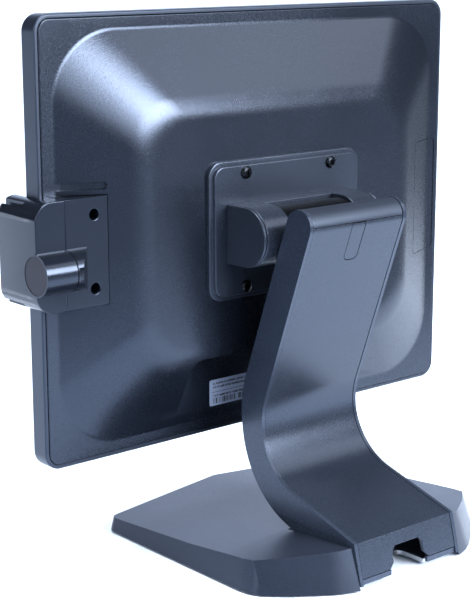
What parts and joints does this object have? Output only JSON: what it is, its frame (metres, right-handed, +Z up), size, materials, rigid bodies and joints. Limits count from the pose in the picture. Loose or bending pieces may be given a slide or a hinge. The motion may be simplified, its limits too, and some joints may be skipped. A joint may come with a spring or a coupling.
{
  "type": "pos touchscreen terminal",
  "caption": "Countertop touchscreen checkout terminal: a flat screen head on a curved tilting stand, with a card and key reader on its side.",
  "frame": {"origin": "centre of the base on the table, at the bottom of the middle rubber foot", "axes": "+Z up, the screen faces -Y, +X points to the side with the card and key reader"},
  "size_m": [0.369, 0.2002, 0.3532],
  "materials": {
    "head_plastic": "satin",
    "stand_plastic": "satin",
    "base_plastic": "satin",
    "hinge_plastic": "satin",
    "dark_plastic": "matte",
    "glass_front": "gloss",
    "gasket_foam": "matte",
    "lcd_metal": "satin",
    "steel": "brushed",
    "zinc_steel": "satin",
    "black_steel": "satin",
    "board_green": "satin",
    "alu": "satin",
    "connector_metal": "satin",
    "label_film": "satin",
    "light_lens": "gloss",
    "reader_face": "satin",
    "foot_rubber": "matte"
  },
  "bodies": {
    "stand": {"arm_frame": "stand_plastic", "arm_rear_cover": "stand_plastic", "arm_top_cap": "stand_plastic", "arm_spine": "zinc_steel", "hinge_knuckle": "black_steel", "hinge_shaft": "steel", "friction_washers": "zinc_steel", "hinge_nuts": "zinc_steel", "base_cover": "base_plastic", "base_plate": "zinc_steel", "rubber_feet": "foot_rubber", "base_screws": "steel"},
    "screen": {"front_bezel": "head_plastic", "touch_glass": "glass_front", "glass_gasket": "gasket_foam", "lcd_panel": "lcd_metal", "screen_chassis": "steel", "mainboard": "board_green", "heat_sink": "alu", "storage_drive": "alu", "speakers": "dark_plastic", "rear_cover": "head_plastic", "side_blank": "head_plastic", "connector_panel": "zinc_steel", "connectors": "connector_metal", "rating_label": "label_film", "status_light": "light_lens", "adaptor_plate": "hinge_plastic", "adaptor_screws": "black_steel", "hinge_block": "hinge_plastic", "hinge_end_caps": "hinge_plastic", "reader_housing": "head_plastic", "reader_bracket": "head_plastic", "key_reader_face": "reader_face", "reader_board": "board_green", "reader_screws": "black_steel"},
    "button": {"power_button": "dark_plastic"},
    "latch": {"latch_tab": "stand_plastic"},
    "card_head": {"read_head": "steel"}
  },
  "joints": [
    {"name": "screen_tilt", "type": "hinge", "parent": "stand", "child": "screen", "pos_m": [0, 0.0018, 0.2109], "axis": [-1, 0, 0], "range_deg": [-5, 60]},
    {"name": "power_press", "type": "slide", "parent": "screen", "child": "button", "axis": [0, 0, 1], "range_m": [0, 0.0012], "stiffness_N_per_m": 1500},
    {"name": "latch_press", "type": "hinge", "parent": "stand", "child": "latch", "pos_m": [0, 0.0493, 0.2215], "axis": [-1, 0, 0], "range_deg": [0, 5], "stiffness_Nm_per_rad": 0.6},
    {"name": "read_head_float", "type": "slide", "parent": "screen", "child": "card_head", "axis": [-1, 0, 0], "range_m": [0, 0.0006], "stiffness_N_per_m": 1200}
  ]
}
